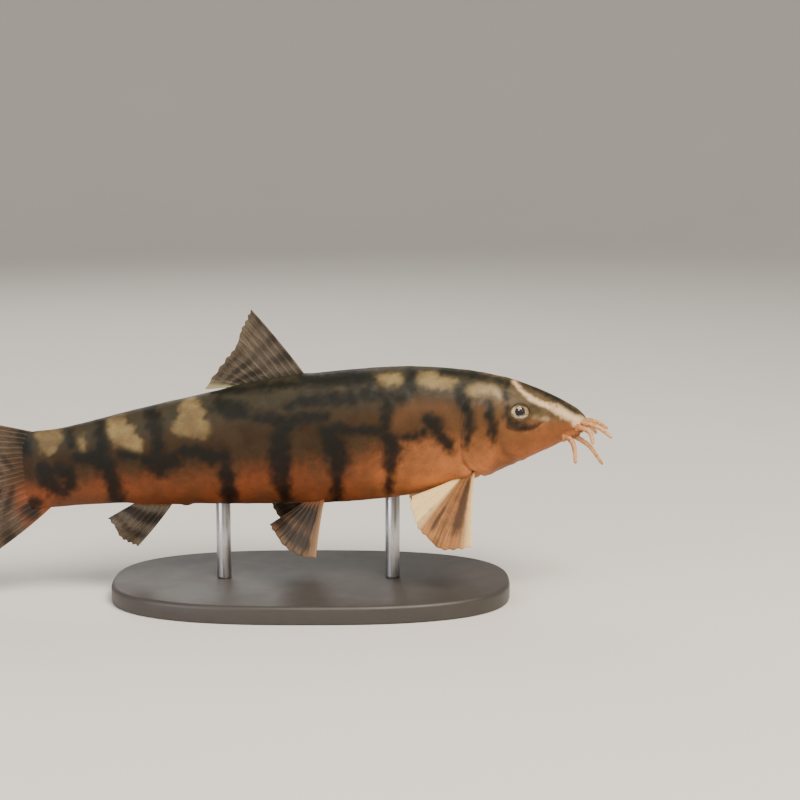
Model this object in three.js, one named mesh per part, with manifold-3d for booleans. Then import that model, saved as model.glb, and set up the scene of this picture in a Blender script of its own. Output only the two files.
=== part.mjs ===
// A life-size yoyo loach, a small striped bottom-living fish, swimming level with its tail a little lower than its
// head, held over a flat oval base by two thin rods. +X is forward, -Y is the fish's right side, +Z is up, and the
// origin is the middle of the base's underside. All lengths are in millimetres.
import * as THREE from "three";
import { mergeVertices } from "three/addons/utils/BufferGeometryUtils.js";
import Module from "manifold-3d";

const wasm = await Module();
wasm.setup();

// Clearances and thin walls
const GAP = 0.3;
const MEMBRANE = 0.52;
const RAY_RIDGE = 0.2;
const FIN_ROOT_DEPTH = 1.6;
const SLIVER = 0.02;

// Body outline at named places: x, height of the back and of the belly, half width, the share of the depth at
// which the section is widest, and how square the section is above and below that height (2 is an ellipse).
const BODY = [
  { place: "caudal base", x: -45.2, back: 28.2, belly: 15.3, half: 0.95, widest: 0.5, above: 2, below: 2 },
  { place: "peduncle", x: -39.5, back: 28.9, belly: 15.7, half: 2.5, widest: 0.5, above: 2, below: 2 },
  { place: "behind anal fin", x: -30, back: 31.2, belly: 16.0, half: 3.9, widest: 0.5, above: 1.95, below: 2 },
  { place: "vent", x: -18, back: 33.9, belly: 15.7, half: 5.1, widest: 0.48, above: 1.9, below: 2.1 },
  { place: "mid body", x: -6, back: 36.4, belly: 15.7, half: 6.0, widest: 0.46, above: 1.9, below: 2.2 },
  { place: "before dorsal fin", x: 6, back: 37.9, belly: 16.1, half: 6.5, widest: 0.44, above: 1.95, below: 2.3 },
  { place: "shoulder", x: 16, back: 38.5, belly: 17.2, half: 6.6, widest: 0.43, above: 2, below: 2.3 },
  { place: "gill opening", x: 24, back: 38.1, belly: 19.0, half: 6.3, widest: 0.42, above: 2.05, below: 2.3 },
  { place: "cheek", x: 31, back: 37.0, belly: 21.6, half: 5.6, widest: 0.42, above: 2.1, below: 2.3 },
  { place: "front of eye", x: 36.5, back: 35.3, belly: 24.0, half: 4.5, widest: 0.42, above: 2.1, below: 2.3 },
  { place: "nostril", x: 40.6, back: 33.5, belly: 26.0, half: 3.3, widest: 0.42, above: 2.1, below: 2.3 },
  { place: "upper lip", x: 43.6, back: 31.8, belly: 27.6, half: 2.15, widest: 0.42, above: 2, below: 2.2 },
  { place: "snout tip", x: 45.3, back: 29.6, belly: 29.6, half: 0, widest: 0.5, above: 2, below: 2 },
];
const BODY_RINGS = 54;
const BODY_SIDES = 36;

// Sideways sweep: the head and the tail both turn a little towards the fish's right
const HEAD_SWEEP = 1.6;
const HEAD_SWEEP_FROM = 12;
const TAIL_SWEEP = 3.2;
const TAIL_SWEEP_FROM = -4;

// Head
const EYE = { x: 34.1, height: 31.85, radius: 1.75, bulge: 1.35, sunk: 0.85 };
const NOSTRIL = { x: 39.5, height: 32.5, length: 1.0, width: 0.62, hole: 0.26 };
const GILL_LIFT = 0.32;
const GILL_EDGE = [
  [28.4, 46], [27.6, 38], [25.9, 33.5], [24.9, 29.5], [24.7, 26.5], [25.4, 23.6], [28.4, 20.6], [30.8, 10],
];
const MOUTH = { corner: [41.75, 2.5, 27.15], front: [44.45, 0, 28.05], groove: 0.36, lip: 0.5, lipStep: 0.6 };
const SPINE = { from: [31.7, 29.6], via: [35.0, 28.95], to: [38.1, 30.35], radius: 0.34 };
// Each barbel's root, bend and tip: x, distance from the middle plane, height
const BARBELS = [
  {
    name: "rostral_barbel_outer", root: [44.3, 1.25, 29.6],
    right: [[46.8, 2.1, 29.1], [49.1, 2.9, 27.5]], left: [[46.9, 2.2, 29.2], [49.0, 3.2, 27.9]],
  },
  {
    name: "rostral_barbel_inner", root: [44.1, 1.75, 28.9],
    right: [[45.5, 2.7, 28.3], [46.0, 3.6, 26.5]], left: [[46.0, 2.8, 28.4], [47.3, 3.9, 26.9]],
  },
  {
    name: "maxillary_barbel", root: [42.0, 2.3, 27.4],
    right: [[42.9, 3.1, 26.2], [43.2, 3.7, 23.3]], left: [[45.9, 3.6, 25.0], [48.5, 4.5, 21.5]],
  },
];
const BARBEL_RADIUS = 0.52;
const BARBEL_TIP = 0.3;

// Trunk and tail part at a plane just before the anal fin
const TAIL_CUT = -20.6;

// Fins. Each ray leaves the root line at an angle above straight back, or below it for the fins underneath, and the
// angles and lengths are given evenly from the leading ray to the last one. Splay is the lean out from upright.
const DORSAL = {
  rays: 11, rows: 8, root: [[-0.7, 37.0], [-12.1, 35.1]], aim: [54, 53, 50, 38, -5],
  reach: [13.8, 11.4, 8.3, 6.0, 5.0], bow: -6, wave: 0.5,
};
const ANAL = {
  rays: 8, rows: 7, root: [[-22.4, 16.2], [-28.4, 16.2]], aim: [-55, -52, -47, -40, -30],
  reach: [9.9, 9.5, 8.4, 7.0, 5.8], bow: 8, wave: 0.5,
};
const CAUDAL_UPPER = {
  rays: 10, rows: 10, root: [[-43.6, 27.9], [-44.6, 22.0]], aim: [13, 9, 2, -5, -12],
  reach: [20.8, 20.2, 16.6, 12.0, 9.6], bow: 2, wave: 0.6,
};
const CAUDAL_LOWER = {
  rays: 10, rows: 10, root: [[-42.8, 15.2], [-44.6, 21.6]], aim: [-42, -37, -29, -21, -13],
  reach: [20.8, 20.2, 16.6, 12.0, 9.6], bow: 14, wave: 0.6,
};
const PECTORAL = {
  rays: 13, rows: 8, root: [[26.9, 22.4], [24.0, 20.6]], aim: [84, 69, 54, 38, 21],
  reach: [12.7, 13.6, 12.3, 10.2, 8.0], bow: 6, splay: 27, wave: 0.55,
};
const PELVIC = {
  rays: 8, rows: 7, root: [[2.4, 17.2], [-0.6, 16.6]], aim: [81, 70, 59, 47, 34],
  reach: [10.3, 10.5, 9.6, 8.4, 7.0], bow: 5, splay: 38, wave: 0.4,
};
const LEFT_FINS_TURN = -7;

// Stand
const BASE = { length: 66, width: 36, height: 3, edge: 0.7, squareness: 2.6 };
const RODS = [
  { name: "stand_rod_front", x: 13.5 },
  { name: "stand_rod_rear", x: -14.5 },
];
const ROD_RADIUS = 1.2;
const ROD_SIDES = 20;

const radians = THREE.MathUtils.degToRad;
const smooth = THREE.MathUtils.smoothstep;

// Value at t, from 0 to 1, of a smooth curve through evenly spaced values.
function alongValues(values, t) {
  const span = Math.min(Math.floor(t * (values.length - 1)), values.length - 2);
  const f = t * (values.length - 1) - span;
  const slope = (i) => {
    const before = values[Math.max(i - 1, 0)];
    const after = values[Math.min(i + 1, values.length - 1)];
    return (after - before) / (Math.min(i + 1, values.length - 1) - Math.max(i - 1, 0));
  };
  return hermite(values[span], values[span + 1], slope(span), slope(span + 1), f);
}

function hermite(a, b, slopeA, slopeB, f) {
  const f2 = f * f;
  const f3 = f2 * f;
  return (2 * f3 - 3 * f2 + 1) * a + (f3 - 2 * f2 + f) * slopeA + (3 * f2 - 2 * f3) * b + (f3 - f2) * slopeB;
}

// One measure of the body at x, smooth between the named places.
function alongBody(read, x) {
  let i = 0;
  while (i < BODY.length - 2 && x > BODY[i + 1].x) i += 1;
  const slope = (j) => {
    const before = BODY[Math.max(j - 1, 0)];
    const after = BODY[Math.min(j + 1, BODY.length - 1)];
    return (read(after) - read(before)) / (after.x - before.x);
  };
  const a = BODY[i];
  const b = BODY[i + 1];
  const length = b.x - a.x;
  const f = THREE.MathUtils.clamp((x - a.x) / length, 0, 1);
  return hermite(read(a), read(b), slope(i) * length, slope(i + 1) * length, f);
}

// Section of the body at x. Half depth and half width run smoothly as squares, so the snout closes in a round tip.
function sectionAt(x) {
  const middle = alongBody((s) => (s.back + s.belly) / 2, x);
  const halfDepth = Math.sqrt(Math.max(alongBody((s) => ((s.back - s.belly) / 2) ** 2, x), 0));
  const half = Math.sqrt(Math.max(alongBody((s) => s.half ** 2, x), 0));
  const widest = alongBody((s) => s.widest, x);
  return {
    half,
    waist: middle + (2 * widest - 1) * halfDepth,
    rise: 2 * (1 - widest) * halfDepth,
    drop: 2 * widest * halfDepth,
    above: alongBody((s) => s.above, x),
    below: alongBody((s) => s.below, x),
  };
}

// Point of the skin at x, and at an angle round the section from the fish's left towards its back.
function skinPoint(x, angle) {
  const s = sectionAt(x);
  const up = Math.sin(angle);
  const out = Math.cos(angle);
  const power = 2 / (up > 0 ? s.above : s.below);
  const y = s.half * Math.sign(out) * Math.abs(out) ** power;
  const z = s.waist + (up > 0 ? s.rise : s.drop) * Math.sign(up) * Math.abs(up) ** power;
  return new THREE.Vector3(x, y, z);
}

function skinNormal(x, angle) {
  const dx = 0.05;
  const da = 0.01;
  const front = Math.min(x + dx, BODY.at(-1).x - 0.01);
  const along = skinPoint(front, angle).sub(skinPoint(x - dx, angle));
  const round = skinPoint(x, angle + da).sub(skinPoint(x, angle - da));
  return along.cross(round).multiplyScalar(-1).normalize();
}

// Angle at which the skin at x has this height, on the fish's left (side 1) or right (side -1).
function angleAt(x, height, side) {
  const s = sectionAt(x);
  const share = (height - s.waist) / (height > s.waist ? s.rise : s.drop);
  const power = (height > s.waist ? s.above : s.below) / 2;
  const angle = Math.asin(THREE.MathUtils.clamp(Math.sign(share) * Math.abs(share) ** power, -1, 1));
  return side > 0 ? angle : Math.PI - angle;
}

// Sideways shift of the body's middle plane at x.
function sweep(x) {
  const head = Math.max(x - HEAD_SWEEP_FROM, 0) / (BODY.at(-1).x - HEAD_SWEEP_FROM);
  const tail = Math.max(TAIL_SWEEP_FROM - x, 0) / (TAIL_SWEEP_FROM - BODY[0].x);
  return -HEAD_SWEEP * head ** 2 - TAIL_SWEEP * tail ** 2;
}

// The gill cover stands proud of the shoulder just before its rear edge.
function gillLift(x) {
  return GILL_LIFT * (1 - smooth(x, 27, 34)) * smooth(x, 23, 24.5);
}

// A BufferGeometry as a manifold-3d solid, with its faces turned outwards.
function solid(geometry) {
  const bare = new THREE.BufferGeometry();
  bare.setAttribute("position", geometry.getAttribute("position"));
  bare.setIndex(geometry.getIndex());
  const merged = mergeVertices(bare, 1e-4);
  const vertProperties = new Float32Array(merged.attributes.position.array);
  const triVerts = new Uint32Array(merged.index.array);
  const made = new wasm.Manifold(new wasm.Mesh({ numProp: 3, vertProperties, triVerts }));
  if (made.volume() > 0) return made;
  for (let k = 0; k < triVerts.length; k += 3) {
    [triVerts[k + 1], triVerts[k + 2]] = [triVerts[k + 2], triVerts[k + 1]];
  }
  return new wasm.Manifold(new wasm.Mesh({ numProp: 3, vertProperties, triVerts }));
}

// Closed surface over rings of points, each ring as long as the next, with a fan to a point at either end.
function loft(rings, firstEnd, lastEnd) {
  const count = rings[0].length;
  const points = [...rings.flat(), firstEnd, lastEnd];
  const first = rings.length * count;
  const index = [];
  for (let r = 0; r < rings.length - 1; r += 1) {
    for (let i = 0; i < count; i += 1) {
      const a = r * count + i;
      const b = r * count + ((i + 1) % count);
      index.push(a, b, b + count, a, b + count, a + count);
    }
  }
  for (let i = 0; i < count; i += 1) {
    const next = (i + 1) % count;
    index.push(first, next, i);
    index.push(first + 1, first - count + i, first - count + next);
  }
  const geometry = new THREE.BufferGeometry().setFromPoints(points);
  geometry.setIndex(index);
  return geometry;
}

// Moves each point of a geometry sideways with the body's sweep.
function swept(geometry) {
  const position = geometry.getAttribute("position");
  for (let i = 0; i < position.count; i += 1) position.setY(i, position.getY(i) + sweep(position.getX(i)));
  return geometry;
}

// The whole body from caudal base to snout, its skin moved out by lift(x).
function bodySolid(lift) {
  const tail = BODY[0].x;
  const snout = BODY.at(-1).x;
  const rings = [];
  for (let r = 0; r < BODY_RINGS; r += 1) {
    const x = tail + (snout - tail) * Math.sin((r / BODY_RINGS) * (Math.PI / 2));
    const ring = [];
    for (let i = 0; i < BODY_SIDES; i += 1) {
      const angle = (-2 * Math.PI * (i + 0.5)) / BODY_SIDES;
      const point = skinPoint(x, angle);
      point.addScaledVector(skinNormal(Math.max(x, tail + 0.1), angle), lift(x));
      if (r === 0) point.x = tail - lift(x);
      ring.push(point);
    }
    rings.push(ring);
  }
  const middle = sectionAt(tail).waist;
  const tip = new THREE.Vector3(snout + lift(snout), 0, BODY.at(-1).back);
  return solid(swept(loft(rings, new THREE.Vector3(tail - lift(tail), 0, middle), tip)));
}

// Tapered round bar along a curve, from radius to tipRadius.
function taperedBar(curve, radius, tipRadius, sides, steps) {
  const frames = curve.computeFrenetFrames(steps, false);
  const rings = [];
  for (let i = 0; i <= steps; i += 1) {
    const centre = curve.getPointAt(i / steps);
    const r = radius + (tipRadius - radius) * (i / steps);
    const ring = [];
    for (let k = 0; k < sides; k += 1) {
      const a = (2 * Math.PI * (k + 0.5)) / sides;
      const across = frames.normals[i].clone().multiplyScalar(Math.cos(a) * r);
      ring.push(across.addScaledVector(frames.binormals[i], Math.sin(a) * r).add(centre));
    }
    rings.push(ring);
  }
  const start = curve.getPointAt(0).addScaledVector(frames.tangents[0], -radius * 0.5);
  const end = curve.getPointAt(1).addScaledVector(frames.tangents[steps], tipRadius);
  return loft(rings, start, end);
}

function bentBar(points, radius, tipRadius, sides, steps) {
  const curve = new THREE.CatmullRomCurve3(points.map((p) => new THREE.Vector3(...p)));
  return solid(swept(taperedBar(curve, radius, tipRadius, sides, steps)));
}

// The largest closed body, without the slivers that a cut leaves.
function largest(made) {
  const [body] = made.decompose().sort((a, b) => b.volume() - a.volume());
  return body.asOriginal().simplify(SLIVER);
}

// Solid with a straight prism's outline in the XZ plane, as wide as the fish and more.
function prism(points) {
  const width = 60;
  const geometry = new THREE.ExtrudeGeometry(new THREE.Shape(points), { depth: width, bevelEnabled: false });
  geometry.rotateX(Math.PI / 2).translate(0, width / 2, 0);
  return solid(geometry);
}

// Everything forward of the gill opening's edge, moved forward by step.
function beforeGill(step) {
  const edge = new THREE.SplineCurve(GILL_EDGE.map(([x, z]) => new THREE.Vector2(x + step, z)));
  return prism([...edge.getPoints(28), new THREE.Vector2(70, 10), new THREE.Vector2(70, 46)]);
}

function box(x0, x1) {
  return prism([
    new THREE.Vector2(x0, 0), new THREE.Vector2(x1, 0), new THREE.Vector2(x1, 60), new THREE.Vector2(x0, 60),
  ]);
}

// Matrix that stands a piece on the skin, its own Z along the skin's normal and its own X forward.
function standOn(x, height, side, out) {
  const angle = angleAt(x, height, side);
  const z = skinNormal(x, angle);
  const forward = skinPoint(x + 0.1, angle).sub(skinPoint(x - 0.1, angle)).normalize();
  const y = z.clone().cross(forward).normalize();
  const origin = skinPoint(x, angle).addScaledVector(z, out);
  return new THREE.Matrix4().makeBasis(y.clone().cross(z), y, z).setPosition(origin);
}

function ellipsoid(halfX, halfY, halfZ, around, along) {
  return new THREE.SphereGeometry(1, around, along).rotateX(Math.PI / 2).scale(halfX, halfY, halfZ);
}

// Eyeball, or with more its socket.
function eyeball(side, more) {
  const shape = ellipsoid(EYE.radius + more, EYE.radius + more, EYE.bulge + more, 22, 12);
  return solid(swept(shape.applyMatrix4(standOn(EYE.x, EYE.height, side, -EYE.sunk))));
}

// Lip or mouth groove: a bar round the front of the mouth, moved back along the jaw by step.
function mouthBar(radius, step) {
  const [cx, cy, cz] = MOUTH.corner;
  const [fx, , fz] = MOUTH.front;
  const slope = (fz - cz) / (fx - cx);
  const at = (x, y, z) => [x - step, y, z - step * slope];
  const curve = [
    at(cx, cy, cz), at(cx + 0.62 * (fx - cx), 0.72 * cy, cz + 0.62 * (fz - cz)), at(fx, 0, fz),
    at(cx + 0.62 * (fx - cx), -0.72 * cy, cz + 0.62 * (fz - cz)), at(cx, -cy, cz),
  ];
  return bentBar(curve, radius, radius, 8, 14);
}

function lips(more) {
  const upper = mouthBar(MOUTH.lip + more, -MOUTH.lipStep);
  return upper.add(mouthBar(MOUTH.lip + more, MOUTH.lipStep * 1.3));
}

// The spine below the eye lies back in a shallow slit.
function eyeSpine(side, radius, lower) {
  const points = [SPINE.from, SPINE.via, SPINE.to].map(([x, z]) => {
    const angle = angleAt(x, z - lower, side);
    return skinPoint(x, angle).addScaledVector(skinNormal(x, angle), radius * 0.25).toArray();
  });
  return bentBar(points, radius, radius * 0.6, 8, 8);
}

function nostril(side) {
  const mound = ellipsoid(NOSTRIL.length, NOSTRIL.width, 0.5, 12, 8);
  return solid(swept(mound.applyMatrix4(standOn(NOSTRIL.x, NOSTRIL.height, side, 0))));
}

function nostrilHole(side, forward) {
  const hole = new THREE.CylinderGeometry(NOSTRIL.hole, NOSTRIL.hole, 1.6, 10).rotateX(Math.PI / 2);
  hole.translate(forward, 0, 0.2);
  return solid(swept(hole.applyMatrix4(standOn(NOSTRIL.x, NOSTRIL.height, side, 0))));
}

// Fin as a thin closed sheet. Its middle surface runs out along rays that fan from the root line, and it is thicker
// on each ray than on the membrane between. Both faces are split into the same triangles.
function finSolid(fin, place) {
  const columns = 2 * (fin.rays - 1);
  const total = fin.rows + 1;
  const faces = [[], []];
  const middle = (i, j) => {
    const across = i / columns;
    const length = alongValues(fin.reach, across) - (i % 2 ? 0.35 : 0);
    const out = -FIN_ROOT_DEPTH + (length + FIN_ROOT_DEPTH) * (j / fin.rows);
    const share = Math.max(out, 0) / length;
    const turn = (fin.bow * (1 - across) * share) / 2;
    const angle = radians(alongValues(fin.aim, across) + turn);
    const lean = fin.wave * share * Math.sin(across * 7 + 0.6);
    const x = fin.root[0][0] + (fin.root[1][0] - fin.root[0][0]) * across - out * Math.cos(angle);
    return { x, across, out, angle, lean, share };
  };
  for (let i = 0; i <= columns; i += 1) {
    for (let j = 0; j < total; j += 1) {
      const at = middle(i, j);
      const { point, normal } = place(fin, at);
      const ridge = i % 2 ? 0 : RAY_RIDGE * (1 - 0.6 * at.share);
      const thick = (MEMBRANE / 2) * (1 - 0.35 * at.share) + ridge;
      faces[0].push(point.clone().addScaledVector(normal, thick));
      faces[1].push(point.clone().addScaledVector(normal, -thick));
    }
  }
  const points = [...faces[0], ...faces[1]];
  const other = faces[0].length;
  const index = [];
  const quad = (a, b, c, d) => index.push(a, b, c, a, c, d);
  for (let i = 0; i < columns; i += 1) {
    for (let j = 0; j < total - 1; j += 1) {
      const a = i * total + j;
      const b = a + total;
      quad(a, b, b + 1, a + 1);
      index.push(a + other, b + 1 + other, b + other, a + other, a + 1 + other, b + 1 + other);
    }
    const a = i * total;
    quad(a + other, a + total + other, a + total, a);
    quad(a + total - 1, a + 2 * total - 1, a + 2 * total - 1 + other, a + total - 1 + other);
  }
  for (let j = 0; j < total - 1; j += 1) {
    const last = columns * total + j;
    quad(j, j + 1, j + 1 + other, j + other);
    quad(last + other, last + 1 + other, last + 1, last);
  }
  const geometry = new THREE.BufferGeometry().setFromPoints(points);
  geometry.setIndex(index);
  return solid(swept(geometry));
}

// A fin in the middle plane, such as the dorsal, leans only by its own wave.
function uprightFin(fin, { x, across, out, angle, lean }) {
  const height = fin.root[0][1] + (fin.root[1][1] - fin.root[0][1]) * across;
  return {
    point: new THREE.Vector3(x, lean, height + out * Math.sin(angle)),
    normal: new THREE.Vector3(0, 1, 0),
  };
}

// A fin of a pair fans from a root line on the flank, in a plane that leans out from it.
function sideFin(side, turn) {
  return (fin, { across, out, angle, lean }) => {
    const rootX = fin.root[0][0] + (fin.root[1][0] - fin.root[0][0]) * across;
    const rootZ = fin.root[0][1] + (fin.root[1][1] - fin.root[0][1]) * across;
    const root = skinPoint(rootX, angleAt(rootX, rootZ, side));
    const aim = angle + radians(turn);
    const down = new THREE.Vector3(0, side * Math.sin(radians(fin.splay)), -Math.cos(radians(fin.splay)));
    const normal = new THREE.Vector3(0, side * down.z * -side, side * down.y * side).normalize();
    const point = root.add(new THREE.Vector3(-Math.cos(aim) * out, 0, 0));
    point.addScaledVector(down, Math.sin(aim) * out).addScaledVector(normal, lean);
    return { point, normal };
  };
}

// Display stand: an oval plate with softened edges, and rods that end just under the belly.
function baseSolid() {
  const outline = (inset) => {
    const points = [];
    const sides = 56;
    for (let i = 0; i < sides; i += 1) {
      const a = (2 * Math.PI * i) / sides;
      const power = 2 / BASE.squareness;
      points.push([
        (BASE.length / 2 - inset) * Math.sign(Math.cos(a)) * Math.abs(Math.cos(a)) ** power,
        (BASE.width / 2 - inset) * Math.sign(Math.sin(a)) * Math.abs(Math.sin(a)) ** power,
      ]);
    }
    return points;
  };
  const levels = [[BASE.edge * 0.5, 0], [0, BASE.edge * 0.5], [0, BASE.height - BASE.edge]];
  levels.push([BASE.edge * 0.3, BASE.height - BASE.edge * 0.3], [BASE.edge, BASE.height]);
  const rings = levels.map(([inset, z]) => outline(inset).map(([x, y]) => new THREE.Vector3(x, y, z)));
  return solid(loft(rings.reverse(), new THREE.Vector3(0, 0, BASE.height), new THREE.Vector3(0, 0, 0)));
}

function rodSolid(x, clearance) {
  const top = sectionAt(x).waist;
  const bottom = BASE.height + GAP;
  const rod = new THREE.CylinderGeometry(ROD_RADIUS, ROD_RADIUS, top - bottom, ROD_SIDES).rotateX(Math.PI / 2);
  rod.translate(x, sweep(x), (top + bottom) / 2);
  return largest(solid(rod).subtract(clearance));
}

const SKIN = { color: 0x8a7356, roughness: 0.45, metalness: 0 };
const FIN = { color: 0xb59a78, roughness: 0.5, metalness: 0 };
const EYE_FINISH = { color: 0xc9bb9a, roughness: 0.15, metalness: 0 };
const BARBEL = { color: 0xd9b48c, roughness: 0.5, metalness: 0 };
const PLATE = { color: 0x3a3734, roughness: 0.55, metalness: 0 };
const STEEL = { color: 0xb8babd, roughness: 0.3, metalness: 1 };

const loach = new THREE.Group();

function addNode(name, made, finish) {
  const { numProp, numVert, vertProperties, triVerts } = made.getMesh();
  const position = new Float32Array(numVert * 3);
  for (let i = 0; i < numVert; i += 1) {
    position.set(vertProperties.subarray(i * numProp, i * numProp + 3), i * 3);
  }
  const geometry = new THREE.BufferGeometry();
  geometry.setAttribute("position", new THREE.BufferAttribute(position, 3));
  geometry.setIndex(new THREE.BufferAttribute(triVerts, 1));
  geometry.computeVertexNormals();
  const mesh = new THREE.Mesh(geometry, new THREE.MeshStandardMaterial(finish));
  mesh.name = name;
  loach.add(mesh);
}

const bare = bodySolid(() => 0);
const withGills = bodySolid(gillLift);
const clearance = bodySolid((x) => gillLift(x) + GAP).add(lips(GAP));

// Head: sockets, nostrils, lips and the spine below each eye are part of it.
let head = withGills.intersect(beforeGill(GAP)).add(lips(0));
for (const side of [1, -1]) {
  head = head.add(nostril(side)).subtract(nostrilHole(side, 0.45)).subtract(nostrilHole(side, -0.4));
  head = head.subtract(eyeSpine(side, SPINE.radius * 0.8, 0.62)).add(eyeSpine(side, SPINE.radius, 0));
  head = head.subtract(eyeball(side, GAP));
}
addNode("head", largest(head.subtract(mouthBar(MOUTH.groove, 0.1))), SKIN);
addNode("trunk", largest(bare.subtract(beforeGill(0)).subtract(box(-70, TAIL_CUT))), SKIN);
addNode("tail", largest(bare.intersect(box(-70, TAIL_CUT - GAP))), SKIN);
addNode("eye_right", eyeball(-1, 0), EYE_FINISH);
addNode("eye_left", eyeball(1, 0), EYE_FINISH);

for (const { name, root, right, left } of BARBELS) {
  for (const [word, side, beyond] of [["right", -1, right], ["left", 1, left]]) {
    const inside = [root[0] - 0.7, root[1] - 0.25, root[2] + 0.1];
    const points = [inside, root, ...beyond].map(([x, y, z]) => [x, side * y, z]);
    const bar = bentBar(points, BARBEL_RADIUS, BARBEL_TIP, 8, 10);
    addNode(name + "_" + word, largest(bar.subtract(clearance)), BARBEL);
  }
}

addNode("dorsal_fin", largest(finSolid(DORSAL, uprightFin).subtract(clearance)), FIN);
addNode("anal_fin", largest(finSolid(ANAL, uprightFin).subtract(clearance)), FIN);
addNode("caudal_fin_upper", largest(finSolid(CAUDAL_UPPER, uprightFin).subtract(clearance)), FIN);
addNode("caudal_fin_lower", largest(finSolid(CAUDAL_LOWER, uprightFin).subtract(clearance)), FIN);
for (const [word, side, turn] of [["right", -1, 0], ["left", 1, LEFT_FINS_TURN]]) {
  addNode("pectoral_fin_" + word, largest(finSolid(PECTORAL, sideFin(side, turn)).subtract(clearance)), FIN);
  addNode("pelvic_fin_" + word, largest(finSolid(PELVIC, sideFin(side, turn)).subtract(clearance)), FIN);
}

addNode("stand_base", baseSolid(), PLATE);
for (const { name, x } of RODS) addNode(name, rodSolid(x, clearance), STEEL);

export default loach;
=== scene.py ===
"""A life-size yoyo loach, a small striped freshwater fish, swimming level over a flat display stand.

Lengths are worked out in millimetres and turned to metres as each mesh is made. +X is forward, -Y is the
fish's right side and +Z is up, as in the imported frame.
"""

import math

import bpy
import numpy as np
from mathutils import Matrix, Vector


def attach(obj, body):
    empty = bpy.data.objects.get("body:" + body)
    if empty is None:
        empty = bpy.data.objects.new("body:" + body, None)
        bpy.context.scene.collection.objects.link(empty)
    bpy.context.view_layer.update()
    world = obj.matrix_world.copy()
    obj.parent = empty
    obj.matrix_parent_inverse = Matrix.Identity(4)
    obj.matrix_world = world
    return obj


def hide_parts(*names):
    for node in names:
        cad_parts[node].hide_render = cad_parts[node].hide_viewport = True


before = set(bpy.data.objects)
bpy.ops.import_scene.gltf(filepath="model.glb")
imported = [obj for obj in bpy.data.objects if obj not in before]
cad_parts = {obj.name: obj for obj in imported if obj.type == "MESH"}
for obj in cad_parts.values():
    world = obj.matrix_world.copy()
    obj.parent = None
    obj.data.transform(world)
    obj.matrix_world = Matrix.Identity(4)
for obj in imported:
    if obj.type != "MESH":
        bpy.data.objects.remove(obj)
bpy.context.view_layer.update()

# Camera: on the fish's right side, 300 mm away and looking a little down on it. The tail fin runs out of the
# picture on the left.
AIM = np.array([14.75, 0.0, 32.9])
VIEW_DISTANCE = 300.0
VIEW_RISE = math.radians(10)
SEEN_WIDTH = 131.1

camera = bpy.data.objects.new("camera", bpy.data.cameras.new("camera"))
camera.data.sensor_fit = "HORIZONTAL"
camera.data.sensor_width = 36
camera.data.lens = 36 * VIEW_DISTANCE / SEEN_WIDTH
back_off = Vector((0, -math.cos(VIEW_RISE), math.sin(VIEW_RISE)))
camera.location = (Vector(AIM) + back_off * VIEW_DISTANCE) / 1000
camera.rotation_euler = (-back_off).to_track_quat("-Z", "Y").to_euler()
bpy.context.scene.collection.objects.link(camera)
bpy.context.scene.camera = camera

# Body: head, trunk and tail under one skin. The real skin has scales too small to see, so it reads as smooth
# wet leather. It runs over the gill covers, a slit under each eye, the nostrils and the thick lips with no
# seam.
STATIONS = np.array([
    # x, back, belly, half width, share of depth where widest, squareness above and below
    [-45.2, 28.2, 15.3, 0.95, 0.5, 2, 2],
    [-39.5, 28.9, 15.7, 2.5, 0.5, 2, 2],
    [-30, 31.2, 16, 3.9, 0.5, 1.95, 2],
    [-18, 33.9, 15.7, 5.1, 0.48, 1.9, 2.1],
    [-6, 36.4, 15.7, 6, 0.46, 1.9, 2.2],
    [6, 37.9, 16.1, 6.5, 0.44, 1.95, 2.3],
    [16, 38.5, 17.2, 6.6, 0.43, 2, 2.3],
    [24, 38.1, 19, 6.3, 0.42, 2.05, 2.3],
    [31, 37, 21.6, 5.6, 0.42, 2.1, 2.3],
    [36.5, 35.3, 24, 4.5, 0.42, 2.1, 2.3],
    [40.6, 33.5, 26, 3.3, 0.42, 2.1, 2.3],
    [43.6, 31.8, 27.6, 2.15, 0.42, 2, 2.2],
    [45.3, 29.6, 29.6, 0, 0.5, 2, 2],
])
TAIL_END, SNOUT_TIP = STATIONS[0, 0], STATIONS[-1, 0]
# Rings behind and over the head, points to a ring, and how the rings crowd towards the snout.
SKIN_RINGS = (212, 226)
SKIN_SIDES = 206
HEAD_FROM = 22.0
CROWDING = 1.6
# Where head and tail start to bend, the length they bend over and how far they move to the right at its end.
HEAD_BEND = (12, 33.3, 1.6)
TAIL_BEND = (-4, 41.2, 3.2)


def smooth(low, high, value):
    """0 below low, 1 above high, and an S curve between."""
    t = np.clip((value - low) / (high - low), 0, 1)
    return t * t * (3 - 2 * t)


def hump(value, centre, spread):
    """Soft hump of height 1 at the centre: e to the minus square of the distance in spreads."""
    return np.exp(-((value - centre) / spread) ** 2)


def cubic(a, b, slope_a, slope_b, f):
    """Cubic from a to b over f from 0 to 1, with the given slopes at its ends."""
    return ((2 * f**3 - 3 * f**2 + 1) * a + (f**3 - 2 * f**2 + f) * slope_a
            + (3 * f**2 - 2 * f**3) * b + (f**3 - f**2) * slope_b)


def through(at, values, x):
    """Smooth curve through values placed at `at`: a cubic over each gap, and its slope at a place is the
    slope between the two places next to it."""
    at, values = np.asarray(at, float), np.asarray(values, float)
    last = len(at) - 1
    before, after = np.maximum(np.arange(last + 1) - 1, 0), np.minimum(np.arange(last + 1) + 1, last)
    slope = (values[after] - values[before]) / (at[after] - at[before])
    i = np.clip(np.searchsorted(at, x, side="right") - 1, 0, last - 1)
    length = at[i + 1] - at[i]
    f = np.clip((x - at[i]) / length, 0, 1)
    return cubic(values[i], values[i + 1], slope[i] * length, slope[i + 1] * length, f)


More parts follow.
